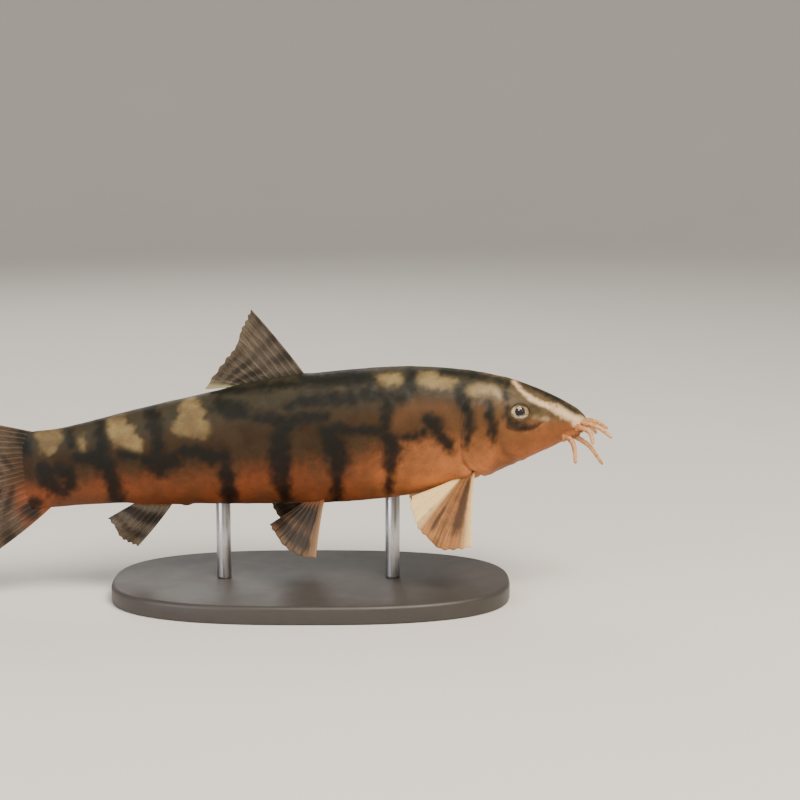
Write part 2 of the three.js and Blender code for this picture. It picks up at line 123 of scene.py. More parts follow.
def section(x):
    """The body's cross section at x: half width, height where widest, rise above it, drop below it, and how
    square it is above and below. Half depth and half width run smoothly as squares, so the snout closes
    round."""
    at, back, belly, half, widest, above, below = STATIONS.T
    middle = through(at, (back + belly) / 2, x)
    half_depth = np.sqrt(np.maximum(through(at, ((back - belly) / 2) ** 2, x), 0))
    half = np.sqrt(np.maximum(through(at, half**2, x), 0))
    widest = through(at, widest, x)
    return (half, middle + (2 * widest - 1) * half_depth, 2 * (1 - widest) * half_depth,
            2 * widest * half_depth, through(at, above, x), through(at, below, x))


def skin_point(x, angle):
    """Point of the plain skin: a superellipse round the section at x, by the angle from the fish's left."""
    half, waist, rise, drop, above, below = section(x)
    up, out = np.sin(angle), np.cos(angle)
    power = 2 / np.where(up > 0, above, below)
    y = half * np.sign(out) * np.abs(out) ** power
    z = waist + np.where(up > 0, rise, drop) * np.sign(up) * np.abs(up) ** power
    return np.stack([x + 0 * y, y, z], -1)


def flank_y(x, height):
    """Half width of the skin at x and this height, from the same superellipse."""
    half, waist, rise, drop, above, below = section(np.asarray(x, float))
    share = np.abs(height - waist) / np.where(height > waist, rise, drop)
    power = np.where(height > waist, above, below)
    return half * (1 - np.clip(share, 0, 1) ** power) ** (1 / power)


def sweep(x):
    """Sideways bend of the whole fish: head and tail turn a little to its right, as the square of the
    distance."""
    (head_x, head_length, head_shift), (tail_x, tail_length, tail_shift) = HEAD_BEND, TAIL_BEND
    head = np.maximum(x - head_x, 0) / head_length
    tail = np.maximum(tail_x - x, 0) / tail_length
    return -head_shift * head**2 - tail_shift * tail**2


def bend(points):
    """Points moved sideways by the sweep at their x."""
    moved = np.array(points, float)
    moved[..., 1] += sweep(moved[..., 0])
    return moved


def path_distance(points, path):
    """Distance from each point to a path of straight stretches, and how far along it the nearest place is, 0
    to 1. The path is a few points, and each stretch is one array step."""
    path = np.asarray(path, float)
    lengths = np.linalg.norm(np.diff(path, axis=0), axis=1)
    total, done = lengths.sum(), 0.0
    best, along = np.full(points.shape[:-1], 1e9), np.zeros(points.shape[:-1])
    for start, step, length in zip(path[:-1], np.diff(path, axis=0), lengths):
        t = np.clip((points - start) @ step / length**2, 0, 1)
        gap = np.linalg.norm(points - start - t[..., None] * step, axis=-1)
        nearer = gap < best
        best, along = np.where(nearer, gap, best), np.where(nearer, (done + t * length) / total, along)
        done += length
    return best, along


def ripple(points, size, seed):
    """Smooth uneven field of about -1 to 1, with waves of about `size` mm: a sum of sines in seeded
    directions."""
    rng = np.random.default_rng(seed)
    total = np.zeros(points.shape[:-1])
    for _ in range(9):
        way = rng.normal(size=3)
        way *= 2 * math.pi / (size * rng.uniform(0.7, 1.5)) / np.linalg.norm(way)
        total += np.sin(points @ way + rng.uniform(0, 2 * math.pi))
    return total / 4.5


def unit(vectors):
    """The same directions with length 1."""
    return vectors / np.maximum(np.linalg.norm(vectors, axis=-1, keepdims=True), 1e-12)


def chord_sums(points):
    """Length of the straight stretches up to each point of a path."""
    return np.concatenate([[0], np.cumsum(np.linalg.norm(np.diff(points, axis=0), axis=1))])


def curve_points(points, count):
    """Smooth curve through a few points in space, evenly spread over its chords."""
    points = np.asarray(points, float)
    at = chord_sums(points)
    t = np.linspace(0, at[-1], count)
    return np.stack([through(at, points[:, k], t) for k in range(points.shape[1])], -1)


def piece_from(name, material, points, faces, fields=None):
    """Mesh object from a material, points in millimetres and faces. Faces are turned round if the closed
    shape they make has a negative volume. Fields are numbers kept at each point, three to a name."""
    points = np.asarray(points, float).reshape(-1, 3)
    fan = [(f[0], f[k], f[k + 1]) for f in faces for k in range(1, len(f) - 1)]
    tri = points[np.array(fan)]
    if np.einsum("ij,ij->", tri[:, 0], np.cross(tri[:, 1], tri[:, 2])) < 0:
        faces = [tuple(reversed(f)) for f in faces]
    mesh = bpy.data.meshes.new(name)
    mesh.from_pydata((points / 1000).tolist(), [], faces)
    for field, values in (fields or {}).items():
        layer = mesh.attributes.new(field, "FLOAT_VECTOR", "POINT")
        layer.data.foreach_set("vector", np.asarray(values, np.float32).reshape(-1))
    mesh.polygons.foreach_set("use_smooth", np.ones(len(mesh.polygons), bool))
    mesh.materials.append(material)
    piece = bpy.data.objects.new(name, mesh)
    bpy.context.scene.collection.objects.link(piece)
    return piece


def ring_faces(rings, sides):
    """Quads between rings of points laid one after another, with a fan to a first and a last pole."""
    grid = np.arange(rings * sides).reshape(rings, sides)
    following = np.roll(grid, -1, 1)
    quads = np.stack([grid[:-1], following[:-1], following[1:], grid[1:]], -1).reshape(-1, 4)
    first_fan = np.stack([0 * grid[0] + grid.size, following[0], grid[0]], -1)
    last_fan = np.stack([0 * grid[0] + grid.size + 1, grid[-1], following[-1]], -1)
    return quads.tolist() + first_fan.tolist() + last_fan.tolist()


def turned(profile, sides):
    """Points and faces of a round piece on the Z axis: a profile of radius and height, pole to pole, turned
    round."""
    turn = 2 * math.pi * np.arange(sides) / sides
    radius, height = np.array(profile).T[..., None]
    rings = np.stack([radius * np.cos(turn), radius * np.sin(turn), height + 0 * turn], -1)
    return np.concatenate([rings[1:-1].reshape(-1, 3), rings[[0, -1], 0]]), ring_faces(len(rings) - 2, sides)


def linear(hex_colour):
    """sRGB hex as linear red, green, blue and alpha."""
    parts = [int(hex_colour[k:k + 2], 16) / 255 for k in (1, 3, 5)]
    return [c / 12.92 if c <= 0.04045 else ((c + 0.055) / 1.055) ** 2.4 for c in parts] + [1.0]


def add(material, kind, inputs=None, **settings):
    """Adds a node to a material. Inputs are values, or another node's output to link from."""
    made = material.node_tree.nodes.new("ShaderNode" + kind)
    for name, value in settings.items():
        setattr(made, name, value)
    for name, value in (inputs or {}).items():
        if isinstance(value, bpy.types.NodeSocket):
            material.node_tree.links.new(value, made.inputs[name])
        else:
            made.inputs[name].default_value = value
    return made


def finish_named(name):
    """An empty material, and its Object coordinates in millimetres."""
    made = bpy.data.materials.new(name)
    made.use_nodes = True
    made.node_tree.nodes.clear()
    where = add(made, "TexCoord").outputs["Object"]
    scaled = add(made, "VectorMath", {0: where, 1: (1000, 1000, 1000)}, operation="MULTIPLY")
    return made, scaled.outputs[0]


def mixed(material, share, first, second):
    """Colour between two, each a hex value or another node's output."""
    sides = [linear(c) if isinstance(c, str) else c for c in (first, second)]
    node = add(material, "Mix", {0: share, 6: sides[0], 7: sides[1]}, data_type="RGBA")
    return node.outputs[2]


def ramp_value(material, value, low, high, out_low=0.0, out_high=1.0):
    """Value carried from the range low to high onto out_low to out_high, along an S curve."""
    node = add(material, "MapRange",
               {"Value": value, "From Min": low, "From Max": high, "To Min": out_low, "To Max": out_high},
               interpolation_type="SMOOTHSTEP")
    return node.outputs["Result"]


def blend(material, value, low, high, first, second, most=1.0):
    """Colour that goes from first to second while value goes from low to high, up to the share `most`."""
    return mixed(material, ramp_value(material, value, low, high, 0.0, most), first, second)


def maths(material, kind, *values):
    """One sum on numbers or other nodes' outputs."""
    return add(material, "Math", dict(enumerate(values)), operation=kind).outputs[0]


def attribute(material, name):
    """The three numbers kept at each point under this name."""
    vector = add(material, "Attribute", attribute_name=name, attribute_type="GEOMETRY")
    return add(material, "SeparateXYZ", {0: vector.outputs["Vector"]}).outputs


def grain(material, where, size, detail=2.0, rough=0.5):
    """Noise with features of about `size` mm."""
    look = {"Vector": where, "Scale": 1 / size, "Detail": detail, "Roughness": rough}
    return add(material, "TexNoise", look).outputs["Fac"]


def relief(material, height, strength, depth):
    """Surface direction over fine relief that is `depth` mm deep."""
    look = {"Strength": strength, "Distance": depth / 1000, "Height": height}
    return add(material, "Bump", look).outputs[0]


def surface(material, inputs):
    """Ends a material with one surface that has these inputs."""
    look = add(material, "BsdfPrincipled", inputs)
    add(material, "OutputMaterial", {"Surface": look.outputs[0]})


# Rings run from the tail's end to the snout tip, closer together over the head.
behind_head, over_head = [np.arange(count) / count for count in SKIN_RINGS]
ring_x = np.concatenate([TAIL_END + (HEAD_FROM - TAIL_END) * behind_head,
                         SNOUT_TIP - (SNOUT_TIP - HEAD_FROM) * (1 - over_head) ** CROWDING])
around = 2 * math.pi * (np.arange(SKIN_SIDES) + 0.5) / SKIN_SIDES
skin = skin_point(ring_x[:, None], around)


def on_flank(x, height):
    """Point of the plain skin on the left flank."""
    return np.array([x, float(flank_y(x, height)), height])


EYE_AT = (34.1, 31.85)
NOSTRIL_AT = (39.5, 32.5)
MOUTH_LINE = [(41.75, 2.5, 27.15), (43.1, 1.95, 27.45), (44.1, 1.15, 27.85), (44.45, 0, 28.05)]
GILL_EDGE = [(28.4, 46), (27.6, 38), (25.9, 33.5), (24.9, 29.5), (24.7, 26.5), (25.4, 23.6), (28.4, 20.6),
             (30.8, 10)]
CHEEK_LINE = [(31.0, 31.0), (30.3, 28.0), (31.2, 25.0), (34.0, 23.4)]
SLIT = [(31.5, 29.9), (32.6, 28.95), (35.0, 28.75), (36.8, 29.25), (38.2, 30.4)]
LATERAL_LINE = ([-46, -30, -10, 10, 24.5], [22.0, 23.4, 25.8, 27.6, 28.9])
PORE_SPACING = 0.9
MUSCLE_SPACING = 2.6
# Front and rear x of the ridges under dorsal and anal fin, and 1 on the back or -1 on the belly.
RIDGES = [(-12.6, -0.2, 1), (-28.9, -21.9, -1)]
VENT_AT = [-20.4, 0, 15.75]
# Pads of the pectoral and pelvic fins: x, height, how far they rise and how wide they are.
PADS = [(25.3, 21.6, 0.75, 1.5), (0.9, 16.9, 0.45, 1.5)]

# Features push the skin in or out along its outward direction, which comes from the steps along and round it.
# Those that come in pairs are laid out once, with both sides of the fish folded onto its left.
round_it = (np.roll(skin, -1, 1) - np.roll(skin, 1, 1)) / 2
skin_out = unit(np.cross(round_it, np.gradient(skin, axis=0)))
x, z = skin[..., 0], skin[..., 2]
folded = np.stack([x, np.abs(skin[..., 1]), z], -1)
push = np.zeros(x.shape)

# Gill cover: it swells towards its rear edge and drops off behind it, and dies out over nape and throat.
edge_z, edge_x = np.array(GILL_EDGE)[::-1, 1], np.array(GILL_EDGE)[::-1, 0]
ahead = x - through(edge_z, edge_x, z)
gill_share = smooth(35.2, 32.0, z) * smooth(18.5, 21.0, z)
cover = 0.25 * smooth(-0.40, 0.35, ahead) * (1 - smooth(0.6, 7.5, ahead))
crease = -0.20 * hump(ahead, -0.35, 0.26) + 0.08 * hump(ahead, 1.6, 0.5)
push += gill_share * (cover + crease)
# Bony plates of the cheek show as a shallow furrow from behind the eye down to the throat.
cheek_gap, _ = path_distance(skin[..., [0, 2]], CHEEK_LINE)
push += -0.13 * hump(cheek_gap, 0, 0.45) + 0.10 * hump(cheek_gap, 0.95, 0.5)

# Eye socket: a hollow that the eyeball fills, under low lids that leave an opening wider than it is high.
eye_gap = np.linalg.norm((folded - on_flank(*EYE_AT)) / [1, 1, 0.75], axis=-1)
push += -1.3 * smooth(1.66, 1.40, eye_gap) + 0.34 * hump(eye_gap, 1.72, 0.24)
push += 0.22 * hump(eye_gap, 2.6, 1.0) * smooth(31.0, 33.0, z)

# Slit below the eye, with the point of the folded spine lying along its upper lip.
slit_path = np.array([on_flank(*p) for p in SLIT])
slit_gap, slit_along = path_distance(folded, slit_path)
spine_gap, spine_along = path_distance(folded, slit_path + [0, 0, 0.52])
push -= 0.26 * hump(slit_gap, 0, 0.17) * smooth(0, 0.08, slit_along) * smooth(1, 0.9, slit_along)
push += 0.15 * hump(spine_gap, 0, 0.34) * smooth(0, 0.15, spine_along) * smooth(1, 0.8, spine_along)

# Nostrils: a low mound on each side with two holes and a small flap of skin between them.
nose = folded - on_flank(*NOSTRIL_AT)
nose_along = nose[..., 0] * 0.93 - nose[..., 2] * 0.36
nose_up = nose[..., 2] * 0.93 + nose[..., 0] * 0.36
mound = np.hypot(nose_along / 1.5, nose_up / 0.95) + 0.35 * np.maximum(np.abs(nose[..., 1]) - 1.5, 0)
push += 0.30 * smooth(1.25, 0.2, mound)
for centre, radius, deep in ((0.55, 0.33, 0.6), (-0.5, 0.3, 0.55)):
    push -= deep * smooth(1.35, 0.5, np.hypot((nose_along - centre) / radius, nose_up / radius))
push += 0.42 * smooth(1.4, 0.3, np.hypot((nose_along - 0.02) / 0.17, nose_up / 0.5))

# Mouth: a groove round the underside of the snout with a fleshy, creased lip on each side of it.
mouth_path = curve_points(MOUTH_LINE, 24)
mouth_gap, mouth_along = path_distance(folded, mouth_path)
above_mouth = z - np.interp(x, mouth_path[:, 0], mouth_path[:, 2])
lip = hump(mouth_gap, 0.55, 0.36) * (1 + 0.16 * np.sin(mouth_along * 46))
corner = smooth(0, 0.12, mouth_along)
push += np.where(above_mouth > 0, 0.42, 0.5) * lip * (0.45 + 0.55 * corner)
push -= 0.85 * hump(mouth_gap, 0, 0.17) * (0.3 + 0.7 * corner)
push -= 0.16 * hump(mouth_gap, 1.35, 0.25) * np.where(above_mouth < 0, 1, 0.35)

# Lateral line: a fine raised seam of pores down the middle of the flank.
line_z = through(*LATERAL_LINE, x)
pores = hump(x / PORE_SPACING % 1, 0.5, 0.2)
push += hump(z, line_z, 0.22) * smooth(24.6, 23.4, x) * (0.05 - 0.10 * pores)

# Flesh: blocks of swimming muscle show as faint bent ribs, and each median fin stands on a low ridge.
bent_x = x + MUSCLE_SPACING * np.abs((z - line_z) / 8) ** 1.2 - 1.2
rib = np.sin(2 * math.pi * bent_x / MUSCLE_SPACING)
push += 0.016 * rib * smooth(24, 18, x) * smooth(0.9, 2.5, np.abs(skin[..., 1]))
for low_x, high_x, sign in RIDGES:
    ridge = smooth(low_x - 2, low_x + 1, x) * smooth(high_x + 2, high_x - 1, x)
    push += 0.22 * ridge * smooth(2.2, 0.2, folded[..., 1]) * (np.sign(z - 26) == sign)
# Vent: a small soft cone just before the anal fin. The pectoral and pelvic fins stand on fleshy pads.
vent_gap = np.linalg.norm(folded - VENT_AT, axis=-1)
push += 0.5 * hump(vent_gap, 0, 0.8) - 0.45 * hump(vent_gap, 0, 0.22)
for root_x, root_z, tall, wide in PADS:
    push += tall * hump(np.linalg.norm(folded - on_flank(root_x, root_z), axis=-1), 0, wide)
push += 0.03 * ripple(skin, 3.2, 5) + 0.015 * ripple(skin, 1.1, 6)

moved = skin + skin_out * push[..., None]
# Round end of the tail: the rings beyond the last station thin to an edge along the fan of the tail fin.
last_ring = moved[0]
highest, lowest = last_ring[:, 2].max(), last_ring[:, 2].min()
waist, tall = (highest + lowest) / 2, (highest - lowest) / 2
height_share = np.clip(np.abs(last_ring[:, 2] - waist) / tall, 0, 1)
reach_back = 0.3 + 1.5 * np.sqrt(1 - height_share**2)
tail_rings = []
for share in np.linspace(1, 0, 18, endpoint=False):
    ring = last_ring.copy()
    ring[:, 0] -= reach_back * share
    ring[:, 1] *= (1 - share) ** 1.15 * 0.86 + 0.14 * math.sqrt(1.0004 - share**2)
    ring[:, 2] = waist + (ring[:, 2] - waist) * (1 + 0.03 * share)
    tail_rings.append(ring)
straight = bend(np.concatenate([np.array(tail_rings), moved]))


def chart(points):
    """Places on the flank as they are read off a side view taken from 300 mm away and 10 degrees up: x and
    height with that view's lean and perspective. Both flanks read the same chart, so the markings meet over
    the back."""
    near = np.abs(points[..., 1] - sweep(points[..., 0]))
    rise = points[..., 2] - AIM[2]
    depth = VIEW_DISTANCE - near * math.cos(VIEW_RISE) - rise * math.sin(VIEW_RISE)
    up = rise * math.cos(VIEW_RISE) - near * math.sin(VIEW_RISE)
    scale = VIEW_DISTANCE / depth
    return np.stack([AIM[0] + (points[..., 0] - AIM[0]) * scale, AIM[2] + up * scale], -1)


# Markings, and among the dark strokes a painted shadow round the eye: each is a soft stroke on the chart, as
# x, height and half width in mm at each of its points. A half width of 0 or less leaves only the faint outer
# part of the stroke.
DARK = [
    # tail: the two spots at the fin's base, the blotch on the side and the bars behind the anal fin
    [(-46.6, 28.4, 0.5), (-46.3, 26.6, 0.95), (-45.8, 25, 0.5)],
    [(-45, 15.6, 1.35), (-44.3, 16.6, 0.9)],
    [(-43.2, 22.2, 1.2), (-42.6, 20.4, 1.6), (-41.6, 19, 1.1)],
    [(-40.6, 21.6, 1.2), (-39.2, 21.2, 1.1), (-38.9, 19.6, 1)],
    [(-40.8, 18.4, 0.9), (-39.4, 18.2, 0.5)],
    [(-37.6, 24, 0.9), (-35.6, 23.9, 1.2), (-33.2, 22.9, 1.3)],
    [(-38.9, 28, 0.35), (-38.7, 26, 0.5)],
    [(-34.2, 29.4, 0.4), (-34, 27.2, 0.8), (-33.9, 24.4, 0.9)],
    [(-32.8, 21.8, 1), (-31.9, 19.2, 1.15), (-31.5, 17.2, 1.1)],
    [(-25.9, 31.4, 0.9), (-25.3, 29.4, 1.15), (-24.8, 26.4, 0.9), (-25, 24, 1)],
    [(-26.6, 23, 1.1), (-24.4, 22.2, 1.6), (-22.6, 22.9, 1.3)],
    [(-20.4, 24.5, 1), (-18, 24.3, 1.2), (-15.6, 23.6, 1.1)],
    [(-30.6, 24.2, 0.6), (-28.6, 23.8, 0.7)],
    [(-14.2, 23.6, 0.9), (-13.5, 20.4, 1.1), (-13.2, 17.4, 1.2), (-13.2, 15.4, 1.1)],
    # saddle under the dorsal fin and the strong bar before it
    [(-15, 31.9, 1), (-13.2, 31.4, 1.6), (-11.2, 31.2, 1.2)],
    [(-8.6, 30.2, 0.7), (-6.4, 30, 0.9), (-4.6, 29.6, 0.8)],
    [(-15.4, 34.2, 0.4), (-8.6, 35, 0.5), (-2, 35.6, 0.4)],
    [(2.2, 30.2, 0.8), (-0.6, 29.9, 1), (-3.4, 29.2, 1.1), (-4.9, 26.8, 1.3), (-4.9, 23.4, 1.75),
     (-4.6, 20.2, 1.5), (-4.1, 17.2, 0.8), (-4.2, 14.8, 0.8)],
    # back from the dorsal fin to the shoulder
    [(-1, 36, 0.8), (3.4, 36.4, 1.2), (8.2, 36.6, 1.2), (10.4, 36.2, 0.7)],
    [(-4.4, 31.8, 0.4), (-1.6, 32.6, 0.9), (1.6, 32.9, 0.9), (4.4, 33, 1), (7.4, 33.4, 0.9),
     (9.8, 34, 0.9)],
    [(10.2, 34, 0.9), (12.6, 33, 0.8), (15.4, 33.4, 0.8), (16.5, 35.4, 0.7), (16.8, 37.2, 0.7)],
    [(12.8, 32.2, 0.9), (12.4, 30, 0.8), (12.4, 28.4, 0.7)],
    # the forked mark in the middle of the flank, and the patch before it
    [(2.6, 27.6, 0.9), (5, 28, 0.9), (8, 27.9, 0.55), (11.8, 27.8, 0.55)],
    [(3, 27.8, 1.1), (4, 25.2, 1.9), (4.6, 22.8, 1.6), (4.5, 19.6, 0.8), (4.2, 16.8, 0.7)],
    [(12.6, 26.8, 1), (13.4, 24.8, 1.5), (13.2, 22.6, 1.2), (13, 20.2, 0.6), (12.8, 18.2, 0.5)],
    [(12, 26.9, 0.5), (14.8, 26.7, 0.35), (17.4, 26.9, 0.35), (18.6, 27.6, 0.7)],
    [(19.6, 29.6, 1), (20.4, 28.8, 1.4), (21.6, 27, 0.8), (22.8, 25.4, 0.9)],
    # nape and gill cover
    [(24.4, 35, 0.7), (24.9, 33, 0.9), (25.9, 31.2, 0.6), (26.1, 28.4, 0.45), (25.6, 25.6, 0.3)],
    [(21.6, 37.6, 0.5), (25.6, 37.2, 0.55), (30, 36.7, 0.6), (32, 35.6, 0.6)],
    [(29.2, 32.4, 0.5), (29.6, 30.2, 0.6), (30, 28.2, 0.6), (29.8, 26.2, 0.4)],
    [(31.9, 34.2, 0.35), (32.1, 33, 0.35)],
    # painted shadow of the eye socket behind the eye and of the slit below it
    [(32.2, 31.6, 0.15), (32.2, 30.4, 0.35), (32.9, 29.1, 0.4), (34.4, 28.5, 0.4), (36, 28.7, 0.3),
     (37.2, 29.4, 0.05)],
    # top of the snout, and the faint shade under the pale stripe
    [(34.2, 36.8, 0.1), (36.4, 35.1, 0.2), (38.7, 34.1, 0.25), (41.2, 32.8, 0.2), (43.6, 31.4, 0.1)],
    [(36.6, 32, 0), (38.4, 31.1, -0.3), (39.8, 30.6, -0.5)],
]
PALE = [
    # blotches along the back
    [(25.8, 34.2, 0.4), (27.8, 34.7, 0.75), (30, 34.6, 0.6), (31.2, 33.6, 0.3)],
    [(18.2, 36.5, 0.8), (20.6, 36.2, 1.1), (23.4, 35.6, 0.9)],
    [(10.9, 36.4, 0.3), (12.8, 36.2, 0.7), (14.2, 36.3, 0.7)],
    [(24.6, 37.8, 0.2), (25.4, 37.8, 0.2)],
    [(28.4, 37.4, 0.3), (31, 36.9, 0.3)],
    # thin pale streak in front of the eye
    [(36.6, 30.1, -0.2), (38.6, 29.9, -0.2)],
    # tail half
    [(-43, 27.6, 0.8), (-42.6, 25.4, 0.6), (-41.4, 27.6, 0.9)],
    [(-37.2, 26.6, 0.35), (-36.8, 25, 0.25)],
    [(-31.4, 29.4, 1.1), (-31.4, 28.4, 1.4), (-30.2, 27.2, 1.6), (-28.4, 25.8, 1)],
    [(-19.6, 31.9, 1.2), (-19.4, 29.8, 2.3), (-21.2, 28.6, 0.8), (-18, 28.4, 1.4)],
]
STRIPE = [
    # from the snout tip over the nostril and up behind the eye
    [(33.4, 36, 0.15), (34.6, 34.5, 0.15), (36.4, 33.1, 0.25), (38.2, 32.3, 0.35), (40.2, 31.8, 0.7),
     (42.2, 30.6, 0.45), (44, 29.6, 0.7), (45, 29.1, 0.8)],
]
BROWN = [
    # paler brown skin that arches between the dark marks of the flank
    [(14.2, 29.4, 0.8), (16, 31, 0.8), (18.6, 31.8, 0.5), (22.6, 31.2, 0.7), (24, 28.8, 0.7)],
    [(27.8, 31.4, 0.4), (27.9, 28.6, 0.6), (27.8, 24.8, 0.9)],
    [(30.8, 32.6, 0.3), (31.4, 29, 0.45), (31.6, 26, 0.9), (32.2, 23.6, 1.4)],
]


def strokes(marks, places, warp, soft):
    """How much of each place the strokes cover: 1 inside a stroke's half width, which changes evenly between
    its points, and falling to 0 over `soft` mm outside it. Warp moves the edges in and out, in mm."""
    cover = np.zeros(places.shape[:-1])
    for stroke in marks:
        points = np.array(stroke)
        low, high = points[:, :2].min(0) - 4.5, points[:, :2].max(0) + 4.5
        near = np.nonzero(((places > low) & (places < high)).all(-1))
        gap, along = path_distance(places[near], points[:, :2])
        spread = chord_sums(points[:, :2])
        width = np.interp(along, spread / spread[-1], points[:, 2])
        cover[near] = np.maximum(cover[near], smooth(soft, -soft * 0.6, gap - width - warp[near]))
    return cover


def skin_fields(points):
    """The skin's pigment fields and painted light at each point. Marks: dark, pale and brown ones. Region and
    light: the share of the body's depth from the belly up, how far into the head, and how far forward from
    tail to shoulder, which sets painted light that is brighter towards the front. Stripe: how near the pale
    stripe of the head, three times over. The left side's chart drifts a little off the right one's."""
    aside = points[..., 1] - sweep(points[..., 0])
    off_centre = smooth(0.3, 3.0, np.abs(aside))
    drift = ripple(points, 11, 21) * (aside > 0) * off_centre
    places = chart(points) + drift[..., None] * [1.5, 0.7]
    warp = 0.34 * ripple(points, 2.3, 22) + 0.22 * ripple(points, 0.9, 23)
    _, waist_z, rise, drop, _, _ = section(np.clip(points[..., 0], TAIL_END + 0.2, SNOUT_TIP - 0.1))
    share = np.clip((points[..., 2] - (waist_z - drop)) / np.maximum(rise + drop, 0.5), 0, 1)
    head = smooth(27.5, 32.5, points[..., 0] + 0.25 * (points[..., 2] - 28))
    pale = np.maximum(strokes(PALE, places, warp, 1.6), strokes(STRIPE, places, 0.75 * warp, 0.85))
    marks = np.stack([strokes(DARK, places, warp, 1.7), pale, strokes(BROWN, places, warp, 2.2)], -1)
    # The third region number grades painted light along the body: darker towards the tail, brighter towards
    # the shoulder.
    region_and_light = np.stack([share, head, smooth(2, 22, points[..., 0])], -1)
    stripe = strokes(STRIPE, places, 0 * warp, 2.2)
    return {"marks": marks, "region_and_light": region_and_light, "stripe": np.stack([stripe] * 3, -1)}


# Fish skin, alive and wet: soft flesh scatters light just under a thin smooth layer of slime. Pigment cells,
# 0.1 to 0.4 mm, are drawn as coarse grains so that they show.
hide, mm = finish_named("fish skin, moist")
dark, pale, brown = attribute(hide, "marks")
height, head, forward = attribute(hide, "region_and_light")
stripe, _, _ = attribute(hide, "stripe")
fine, mid, wide = grain(hide, mm, 0.28), grain(hide, mm, 1.1, 3), grain(hide, mm, 4.5, 3)
uneven = maths(hide, "SUBTRACT", mid, 0.5)
lifted = maths(hide, "MULTIPLY_ADD", uneven, 0.16, height)
# Painted light: the forward number makes the flank's colours darker towards the tail. Behind the shoulder the
# upper flank is darkened as painted shade, and at the front the lower flank's orange reaches higher.
sunk = maths(hide, "MULTIPLY_ADD", forward, -0.1, lifted)
# The lower flank's orange is partly the fish's own warm tone and partly painted warm light reflected up from
# below.
low = mixed(hide, forward, "#783f20", "#b26c3c")
side = blend(hide, sunk, 0.14, 0.50, low, mixed(hide, forward, "#2a1c0b", "#483019"))
plain = blend(hide, lifted, 0.6, 0.88, side, "#2e2c21")
face = blend(hide, lifted, 0.05, 0.35, "#a96235", "#8f552c")
face = blend(hide, lifted, 0.38, 0.70, face, "#56482f")
base = mixed(hide, head, plain, face)
base = blend(hide, wide, 0.3, 0.7, base, mixed(hide, 0.5, base, "#3c2f1c"))
browned = mixed(hide, maths(hide, "MULTIPLY", brown, 0.65), base, "#5c3d22")
cream = blend(hide, wide, 0.35, 0.65, "#85734b", "#635236")
cream = mixed(hide, maths(hide, "MULTIPLY", head, 0.5), cream, "#b9a27b")
cream = mixed(hide, maths(hide, "MULTIPLY", stripe, 0.9), cream, "#f0cda6")
paled = blend(hide, maths(hide, "MULTIPLY_ADD", uneven, 0.5, pale), 0.1, 0.95, browned, cream, 0.84)
ink = blend(hide, lifted, 0.12, 0.72, "#140b05", "#10120d")
inked = blend(hide, maths(hide, "MULTIPLY_ADD", uneven, 0.5, dark), 0.1, 1.05, paled, ink, 0.96)
speckled = blend(hide, fine, 0.56, 0.68, inked, mixed(hide, 0.6, inked, "#20190f"), 0.38)
surface(hide, {
    "Base Color": speckled, "Roughness": ramp_value(hide, mid, 0.3, 0.7, 0.46, 0.6), "IOR": 1.34,
    "Specular IOR Level": 0.3, "Coat Weight": 0.04, "Coat Roughness": 0.3, "Coat IOR": 1.34,
    "Subsurface Weight": 0.06, "Subsurface Radius": (1.0, 0.4, 0.2), "Subsurface Scale": 0.0007,
    "Normal": relief(hide, grain(hide, mm, 0.4, 1, 0.4), 0.14, 0.1)})
poles = [straight[0].mean(0), bend([SNOUT_TIP, 0, 29.6]) + [0.02, 0, 0]]
fields = {name: np.concatenate([field.reshape(-1, 3), field[[0, -1], 0]])
          for name, field in skin_fields(straight).items()}
body = piece_from("skin", hide, np.concatenate([straight.reshape(-1, 3), poles]),
                  ring_faces(len(straight), SKIN_SIDES), fields)
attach(body, "root")
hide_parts("head", "trunk", "tail")

# Eyes: a silvery iris round a black pupil, a little behind a clear cornea that bulges out of the socket.
EYE_RADIUS = 1.75
EYE_SUNK = 0.85
EYE_BULGE = 1.35


def eye_frame(side):
    """Centre of the eyeball, and three directions as rows: forward along the skin, down along it, out of
    it."""
    (x, z), step = EYE_AT, 0.05
    forward = unit(on_flank(x + step, z) - on_flank(x - step, z))
    upward = unit(on_flank(x, z + step) - on_flank(x, z - step))
    out = unit(np.cross(upward, forward))
    flip = np.array([1, side, 1])
    centre = bend((on_flank(x, z) - out * EYE_SUNK) * flip)
    return centre, np.stack([forward, unit(np.cross(out, forward)), out]) * flip


def dome(name, material, side, profile, sides=64):
    """Closed round piece on the eye's axis: a profile of radius and height out of the centre, turned round
    it."""
    centre, directions = eye_frame(side)
    disc, faces = turned(profile, sides)
    return piece_from(name, material, centre + disc @ directions, faces, {"disc": disc})


lobe = np.linspace(-math.pi / 2, math.pi / 2, 40)
ball = np.stack([EYE_RADIUS * np.cos(lobe), EYE_BULGE * np.sin(lobe)], -1)
# The front of the eyeball is flattened to the iris, with the pupil dished a little into it.
ball[:, 1] = np.minimum(ball[:, 1], 0.92 - 0.08 * smooth(0.9, 0.68, ball[:, 0]))
# The cornea is a thin shell, 0.09 mm thick, over the front of the ball.
cornea = np.stack([(EYE_RADIUS - 0.02) * np.cos(lobe), (EYE_BULGE + 0.02) * np.sin(lobe)], -1)
front = cornea[cornea[:, 1] > 0.35]
back_of = front[::-1] * [0.955, 1] - [0, 0.09]
shell = np.concatenate([[[0, back_of[0, 1]]], back_of[1:], front[:-1], [[0, front[-1, 1]]]])

